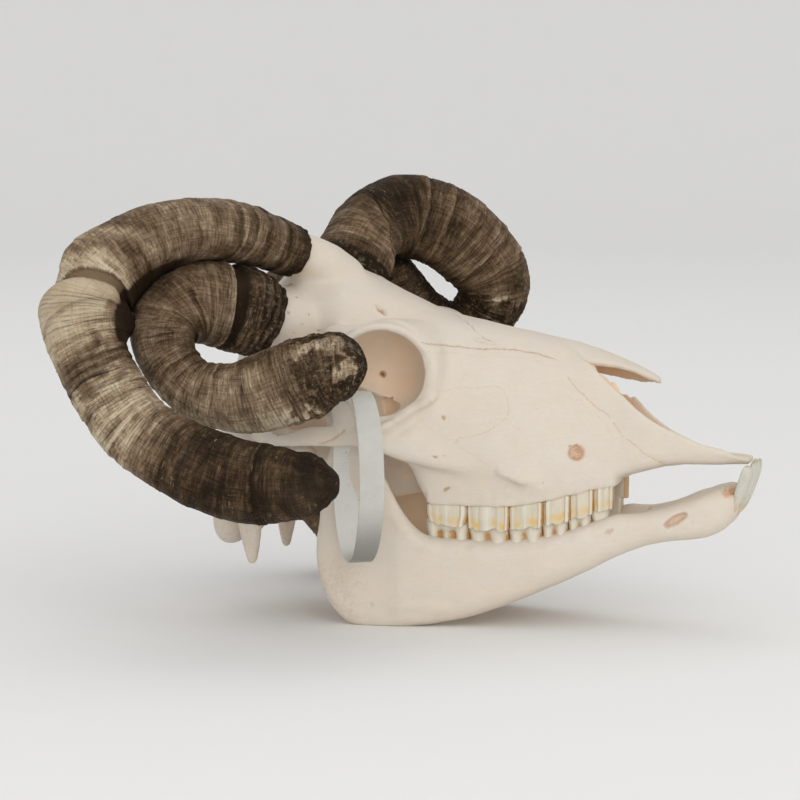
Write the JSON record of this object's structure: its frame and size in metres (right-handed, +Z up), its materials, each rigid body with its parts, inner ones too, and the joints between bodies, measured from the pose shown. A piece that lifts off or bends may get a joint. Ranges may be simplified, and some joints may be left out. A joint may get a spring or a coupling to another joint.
{
  "type": "four-horned ram skull",
  "caption": "Bleached skull of a four-horned ram with its lower jaw, curled ridged horns and a bare loop of tag strap hung round the cheekbone.",
  "frame": {"origin": "on the floor that the skull rests on, under the middle of its bounding box", "axes": "+X from the back of the head towards the nose, +Y to the animal's left, +Z up"},
  "size_m": [0.286, 0.2526, 0.1911],
  "materials": {
    "bone": "dry, matt, cream-white bleached bone",
    "horn": "ridged grey-brown horn, matt, darker and flaking at the bases and tips",
    "strap_plastic": "pale grey, slightly translucent satin strap, bare"
  },
  "bodies": {
    "root": {"cranium": "bone", "mandible_right": "bone", "mandible_left": "bone", "horn_upper_right": "horn", "horn_lower_right": "horn", "horn_upper_left": "horn", "horn_lower_left": "horn", "tag_strap": "strap_plastic"}
  },
  "joints": []
}
